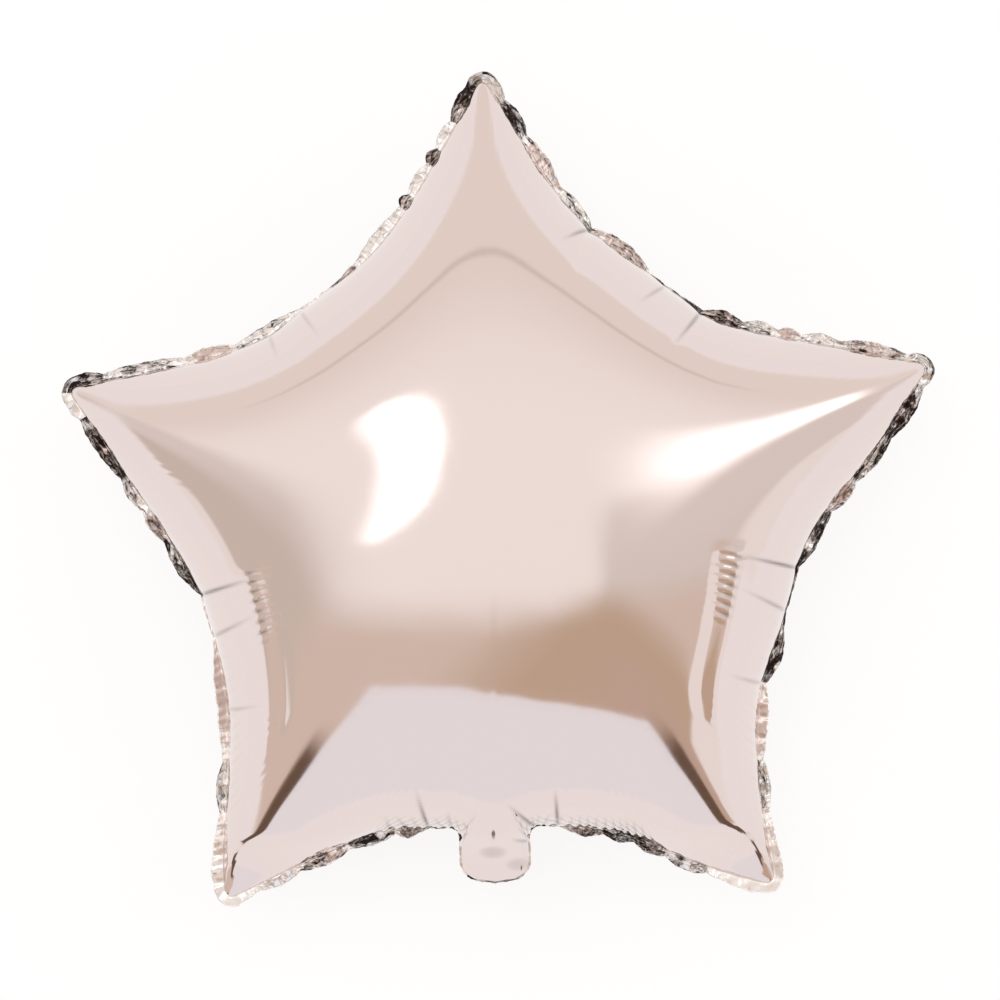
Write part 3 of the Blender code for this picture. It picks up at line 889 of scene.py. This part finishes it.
def crumpled_film(finish):
    # The same film where the two panels are heat-welded and cut. The weld isn't blown
    # tight, so it crumples into small facets that mirror light and dark parts of the
    # room side by side: leaf by leaf it looks black, grey or silver. That look is painted
    # reflection, mixed in the colour from a near-black to a pale close to the film's own
    # tint by each leaf's attribute, a facet pattern and streaks, with painted shade along
    # the facets' edges
    material = bpy.data.materials.new("heat_welded_metallised_film")
    material.use_nodes = True
    tree = material.node_tree
    shader = tree.nodes["Principled BSDF"]
    shader.inputs["Metallic"].default_value = 1.0
    shader.inputs["Roughness"].default_value = 0.22
    # Across the map the strip is SEAM_LENGTH long and one leaf wide, in metres
    flat = add_node(tree, "ShaderNodeTexCoord").outputs["UV"]
    place = add_node(tree, "ShaderNodeMapping", None, {
        "Vector": flat, "Scale": (SEAM_LENGTH / FACET_LENGTH, LEAF_WIDTH / FACET_WIDTH, 1.0)}).outputs[0]
    leaf = add_node(tree, "ShaderNodeAttribute", {"attribute_name": "leaf_painted_reflection"})
    facet = add_node(tree, "ShaderNodeTexVoronoi", None, {"Vector": place, "Scale": 1.0})
    creases = add_node(tree, "ShaderNodeTexVoronoi", {"feature": "DISTANCE_TO_EDGE"}, {
        "Vector": place, "Scale": 1.0})
    streaks = add_node(tree, "ShaderNodeTexNoise", None, {
        "Vector": place, "Scale": 1.1, "Detail": 4.0, "Roughness": 0.70, "Distortion": 1.4})
    streaked = add_node(tree, "ShaderNodeMath", {"operation": "MULTIPLY_ADD"}, {
        0: streaks.outputs["Fac"], 1: 2.0, 2: leaf.outputs["Fac"]})
    level = add_node(tree, "ShaderNodeMath", {"operation": "MULTIPLY_ADD"}, {
        0: facet.outputs["Color"], 1: 0.60, 2: streaked.outputs[0]})
    crisp = add_node(tree, "ShaderNodeMapRange", {"interpolation_type": "SMOOTHSTEP"}, {
        "Value": level.outputs[0], "From Min": 1.42, "From Max": 2.02})
    # Painted shade along the edges of the facets, left out on smooth leaves
    lines = add_node(tree, "ShaderNodeMapRange", None, {
        "Value": creases.outputs["Distance"], "From Max": 0.05, "To Min": 0.55})
    taut = add_node(tree, "ShaderNodeMath", {"operation": "SUBTRACT"}, {0: leaf.outputs["Fac"], 1: 1.0})
    lined = add_node(tree, "ShaderNodeMath", {"operation": "MAXIMUM"}, {
        0: lines.outputs["Result"], 1: taut.outputs[0]})
    bright = add_node(tree, "ShaderNodeMath", {"operation": "MULTIPLY"}, {
        0: crisp.outputs["Result"], 1: lined.outputs[0]})
    tint = add_node(tree, "ShaderNodeMix", {"data_type": "RGBA"}, {
        0: bright.outputs[0], 6: finish.strip_painted_dark_reflection, 7: finish.strip_pale})
    dents = add_node(tree, "ShaderNodeBump", None, {
        "Height": facet.outputs["Distance"], "Strength": 0.35, "Distance": 0.0005})
    tree.links.new(tint.outputs[2], shader.inputs["Base Color"])
    tree.links.new(dents.outputs["Normal"], shader.inputs["Normal"])
    return material


class BALLOON_OT_film_panels(bpy.types.Operator):
    """Builds the front and the back panel of the inflated bag"""
    bl_idname = "balloon.film_panels"
    bl_label = "Film panels"
    bl_options = {"REGISTER", "UNDO"}

    def execute(self, context):
        shape = context.scene.balloon_shape
        material = metallised_film(context.scene.balloon_finish)
        for name, side in (("front_panel", 1.0), ("back_panel", -1.0)):
            points, fold = panel_points(side, shape)
            panel = rolled_grid(name, points, "painted_fold_shade", fold)
            turn_faces(panel, side)
            finish_piece(panel, material)
            if side > 0.0:
                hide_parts(NODE)
        return {"FINISHED"}


class BALLOON_OT_seam_strip(bpy.types.Operator):
    """Builds the crumpled strip that is left outside the weld"""
    bl_idname = "balloon.seam_strip"
    bl_label = "Seam strip"
    bl_options = {"REGISTER", "UNDO"}

    rows: IntProperty(name="Rows", description="Rows of faces across the strip", default=8, min=2, max=12)

    def execute(self, context):
        strip = context.scene.balloon_strip
        points, shade = strip_points(strip, context.scene.balloon_shape, self.rows)
        piece = rolled_grid("seam_strip", points, "leaf_painted_reflection", shade)
        turn_faces(piece, -1.0)
        wall = piece.modifiers.new("film_thickness", "SOLIDIFY")
        wall.thickness = strip.thickness
        wall.offset = 0.0
        bpy.ops.object.modifier_apply(modifier=wall.name)
        finish_piece(piece, crumpled_film(context.scene.balloon_finish))
        return {"FINISHED"}


# Things that the film mirrors, over a plane one metre above the balloon, x to the right
# and y toward the top arm. Each is laid over those before it: its colour, its brightness
# and its borders. A line border (a, b, c, soft) has the thing where a*x + b*y + c > 0, a
# disc border ("in" or "out", x, y, radius, soft) inside or outside a round
MIRRORED = (
    # Ceiling dims toward the head of the star
    ("EDE6E0", 1.0, ((0.0, 1.0, -0.25, 0.75),)),
    # Wall to the right and to the left
    ("E1DBD7", 1.0, ((1.0, 0.0, -0.20, 0.07), (0.30, -1.0, 0.02, 0.10))),
    ("D6CCC4", 1.0, ((1.0, 0.0, -0.22, 0.10), (-0.10, -1.0, 0.0, 0.35))),
    ("E1DBD7", 1.0, ((-1.0, 0.0, -0.25, 0.45), (-0.42, -1.0, 0.0, 0.25))),
    ("D2C8BF", 1.0, ((-1.0, 0.0, -0.35, 0.40), (-0.20, -1.0, 0.0, 0.30))),
    # Edge of a ceiling panel, a thin dim line across the head
    ("D8CEC9", 1.0, (
        (0.0, 1.0, -1.06, 0.04), (0.0, -1.0, 1.18, 0.04),
        (-1.0, 0.0, 1.25, 0.40), (1.0, 0.0, 1.25, 0.40))),
    # Brown table edge below, darker to the right
    ("DACBC0", 1.0, ((0.0, -1.0, -0.12, 0.14), (-0.25, -1.0, 0.0, 0.12), (0.45, -1.0, 0.12, 0.20))),
    ("C5B09A", 1.0, ((0.30, -1.0, -0.17, 0.13), (1.0, -0.6, -0.02, 0.30), (-0.55, -1.0, 0.05, 0.12))),
    ("C6AF9F", 1.0, ((0.0, -1.0, -0.20, 0.20), (1.0, 0.0, -0.10, 0.30), (-0.75, -1.0, 0.0, 0.10))),
    # Dark gap at both ends of the sheet
    ("7A6350", 1.0, (
        (0.0, -1.0, -0.55, 0.60), (-1.00, -1.0, 0.0, 0.06),
        (1.33, 1.0, 0.0, 0.06), (1.0, 0.0, 0.0, 0.10))),
    ("8F7B69", 1.0, (
        (0.0, -1.0, -0.55, 0.60), (0.85, -1.0, 0.0, 0.06),
        (-1.20, 1.0, 0.0, 0.06), (-1.0, 0.0, 0.0, 0.10))),
    # White sheet at the foot
    ("EFF0F5", 1.0, (
        (-0.42, -1.0, -0.45, 0.008), (0.0, -1.0, -0.41, 0.02),
        (1.16, -1.0, 0.0, 0.03), (-1.27, -1.0, 0.0, 0.03))),
    # Pale floor past the walls
    ("F3EFED", 1.0, ((1.0, 0.0, -1.05, 0.12), (0.0, -1.0, -0.20, 0.10), (0.86, 1.0, 0.0, 0.05))),
    ("F3EFED", 1.0, ((-1.0, 0.0, -2.10, 0.30), (0.0, -1.0, -0.30, 0.20), (-0.42, 1.0, 0.0, 0.05))),
    ("F6F5F6", 1.0, (("out", 0.0, 0.0, 3.1, 0.8),)),
    # Dark slots at the corners of the sheet, which run out along the lower arms
    ("6A5648", 1.0, ((0.90, -1.0, 0.0, 0.05), (-1.23, 1.0, 0.0, 0.05), (-1.0, -1.0, -1.30, 0.60))),
    ("6A5648", 1.0, ((-1.00, -1.0, 0.0, 0.05), (1.37, 1.0, 0.0, 0.05), (1.0, -1.0, -1.30, 0.60))),
    # Strip light to the right
    ("FFFFFF", 2.0, (
        (0.40, -0.92, 0.145, 0.18), (-0.34, 0.94, 0.195, 0.18),
        (0.93, 0.37, -0.20, 0.55), (-0.93, -0.37, 2.9, 1.0))),
    # Round lamp to the left with a shade before it, which leaves a crescent
    ("FFFFFF", 2.0, (
        ("in", -0.333, 0.187, 0.195, 0.035), ("out", -0.454, 0.131, 0.160, 0.09), (1.0, 0.0, 0.42, 0.14))),
)
CEILING = "FAF7F5"
# A direction that rises less than this, or falls, is taken to rise this much
HORIZON = 0.04


def border_mask(tree, place, border):
    # One inside the border, fading to nil over its softness
    if isinstance(border[0], str):
        side, x, y, radius, soft = border
        reach = add_node(tree, "ShaderNodeVectorMath", {"operation": "DISTANCE"}, {
            0: place, 1: (x, y, 1.0)})
        value = reach.outputs["Value"]
        low, high = (radius + soft, radius) if side == "in" else (radius, radius + soft)
    else:
        a, b, c, soft = border
        level = add_node(tree, "ShaderNodeVectorMath", {"operation": "DOT_PRODUCT"}, {
            0: place, 1: (a, b, c)})
        value = level.outputs["Value"]
        low, high = 0.0, soft
    mask = add_node(tree, "ShaderNodeMapRange", {"interpolation_type": "SMOOTHSTEP"}, {
        "Value": value, "From Min": low, "From Max": high})
    return mask.outputs["Result"]


def light_room(scene, studio):
    # The room as the film mirrors it; the camera sees plain white in its place
    world = bpy.data.worlds.new("studio_room")
    scene.world = world
    world.use_nodes = True
    tree = world.node_tree
    tree.nodes.clear()
    direction = add_node(tree, "ShaderNodeTexCoord").outputs["Generated"]
    split = add_node(tree, "ShaderNodeSeparateXYZ", None, {"Vector": direction})
    up = add_node(tree, "ShaderNodeMath", {"operation": "MAXIMUM"}, {0: split.outputs["Z"], 1: HORIZON})
    upright = add_node(tree, "ShaderNodeCombineXYZ", None, {
        "X": split.outputs["X"], "Y": split.outputs["Y"], "Z": up.outputs[0]})
    heights = add_node(tree, "ShaderNodeCombineXYZ", None, {
        "X": up.outputs[0], "Y": up.outputs[0], "Z": up.outputs[0]})
    plane = add_node(tree, "ShaderNodeVectorMath", {"operation": "DIVIDE"}, {
        0: upright.outputs[0], 1: heights.outputs[0]})
    place = plane.outputs["Vector"]
    colour = srgb(CEILING)
    for code, bright, borders in MIRRORED:
        mask = border_mask(tree, place, borders[0])
        for border in borders[1:]:
            both = add_node(tree, "ShaderNodeMath", {"operation": "MULTIPLY"}, {
                0: mask, 1: border_mask(tree, place, border)})
            mask = both.outputs[0]
        laid = add_node(tree, "ShaderNodeMix", {"data_type": "RGBA"}, {
            0: mask, 6: colour, 7: (*(bright * channel for channel in srgb(code)[:3]), 1.0)})
        colour = laid.outputs[2]
    room = add_node(tree, "ShaderNodeBackground", None, {"Color": colour, "Strength": studio.room_level})
    white = add_node(tree, "ShaderNodeBackground", None, {"Color": srgb("FFFFFF"), "Strength": 1.0})
    rays = add_node(tree, "ShaderNodeLightPath")
    mix = add_node(tree, "ShaderNodeMixShader", None, {
        0: rays.outputs["Is Camera Ray"], 1: room.outputs[0], 2: white.outputs[0]})
    add_node(tree, "ShaderNodeOutputWorld", None, {"Surface": mix.outputs[0]})


def white_paper(studio):
    # Matt white background paper, pulped and rolled, with a felt tooth about 1 mm across.
    # The camera and the film see it close to pure white, and it still takes the shadow
    material = bpy.data.materials.new("white_background_paper")
    material.use_nodes = True
    tree = material.node_tree
    shader = tree.nodes["Principled BSDF"]
    shader.inputs["Base Color"].default_value = studio.floor
    shader.inputs["Roughness"].default_value = 0.9
    shader.inputs["Specular IOR Level"].default_value = 0.1
    place = add_node(tree, "ShaderNodeTexCoord").outputs["Object"]
    tooth = add_node(tree, "ShaderNodeTexNoise", None, {"Vector": place, "Scale": 1000.0, "Detail": 3.0})
    felt = add_node(tree, "ShaderNodeBump", None, {
        "Height": tooth.outputs["Fac"], "Strength": 0.2, "Distance": 0.0002})
    tree.links.new(felt.outputs["Normal"], shader.inputs["Normal"])
    rays = add_node(tree, "ShaderNodeLightPath")
    mirrored = add_node(tree, "ShaderNodeMath", {"operation": "MAXIMUM"}, {
        0: rays.outputs["Is Glossy Ray"], 1: rays.outputs["Is Transmission Ray"]})
    seen = add_node(tree, "ShaderNodeMath", {"operation": "MAXIMUM"}, {
        0: rays.outputs["Is Camera Ray"], 1: mirrored.outputs[0]})
    share = add_node(tree, "ShaderNodeMath", {"operation": "MULTIPLY"}, {
        0: seen.outputs[0], 1: PAPER_GLOW_SHARE})
    glow = add_node(tree, "ShaderNodeEmission", None, {"Color": srgb("FFFFFF"), "Strength": PAPER_GLOW})
    mix = add_node(tree, "ShaderNodeMixShader", None, {
        0: share.outputs[0], 1: shader.outputs[0], 2: glow.outputs[0]})
    tree.links.new(mix.outputs[0], tree.nodes["Material Output"].inputs["Surface"])
    return material


class BALLOON_OT_studio(bpy.types.Operator):
    """Lays the paper floor and sets the room, the soft lamp and the camera"""
    bl_idname = "balloon.studio"
    bl_label = "Studio"
    bl_options = {"REGISTER", "UNDO"}

    def execute(self, context):
        scene = context.scene
        studio = scene.balloon_studio
        shape = scene.balloon_shape
        scene.view_settings.view_transform = "Standard"
        light_room(scene, studio)
        level = seam_height(shape, film_solution(shape.star_radius))

        bpy.ops.object.select_all(action="DESELECT")
        bpy.ops.mesh.primitive_plane_add(size=FLOOR_SIZE, location=(0.0, 0.0, -FLOOR_DROP))
        floor = context.object
        floor.name = "paper_floor"
        floor.data.materials.append(white_paper(studio))

        bpy.ops.object.light_add(type="AREA", location=LAMP_PLACE)
        lamp = context.object
        lamp.name = "overhead_softbox"
        lamp.data.shape = "SQUARE"
        lamp.data.size = LAMP_SIZE
        lamp.data.energy = studio.lamp_power
        aim = Vector(LAMP_AIM) - Vector(LAMP_PLACE)
        lamp.rotation_euler = aim.to_track_quat("-Z", "Y").to_euler()
        # The film mirrors the room above, so the lamp itself isn't mirrored
        lamp.visible_glossy = False

        # Straight down on the star; its middle falls left of and below the frame's middle
        roll = studio.camera_roll
        x = FRAME_RIGHT * math.cos(roll) + FRAME_UP * math.sin(roll)
        y = FRAME_UP * math.cos(roll) - FRAME_RIGHT * math.sin(roll)
        bpy.ops.object.camera_add(
            location=(x, y, level + studio.camera_distance), rotation=(0.0, 0.0, -roll))
        camera = context.object
        camera.name = "camera"
        camera.data.sensor_width = SENSOR_WIDTH
        camera.data.lens = camera.data.sensor_width * studio.camera_distance / studio.view_width
        scene.camera = camera
        return {"FINISHED"}


class BALLOON_PT_sidebar(bpy.types.Panel):
    """Sizes, finishes and steps of the star foil balloon"""
    bl_idname = "BALLOON_PT_sidebar"
    bl_label = "Star foil balloon"
    bl_space_type = "VIEW_3D"
    bl_region_type = "UI"
    bl_category = "Balloon"

    def draw(self, context):
        for title, group in GROUPS:
            box = self.layout.box()
            box.label(text=title)
            settings = getattr(context.scene, group)
            for name in settings.__annotations__:
                box.prop(settings, name)
        for step in STEPS:
            self.layout.operator(step.bl_idname)


GROUPS = (
    ("Bag", "balloon_shape"),
    ("Seam strip", "balloon_strip"),
    ("Finish", "balloon_finish"),
    ("Studio", "balloon_studio"),
)
SETTINGS = (BalloonShape, SeamStripShape, BalloonFinish, BalloonStudio)
STEPS = (BALLOON_OT_film_panels, BALLOON_OT_seam_strip, BALLOON_OT_studio)
CLASSES = (*SETTINGS, *STEPS, BALLOON_PT_sidebar)


def register():
    for item in CLASSES:
        bpy.utils.register_class(item)
    for (_, name), kind in zip(GROUPS, SETTINGS):
        setattr(bpy.types.Scene, name, PointerProperty(type=kind))


def unregister():
    for _, name in GROUPS:
        delattr(bpy.types.Scene, name)
    for item in reversed(CLASSES):
        bpy.utils.unregister_class(item)


def main():
    register()
    bpy.ops.balloon.film_panels()
    bpy.ops.balloon.seam_strip()
    bpy.ops.balloon.studio()


if __name__ == "__main__":
    main()
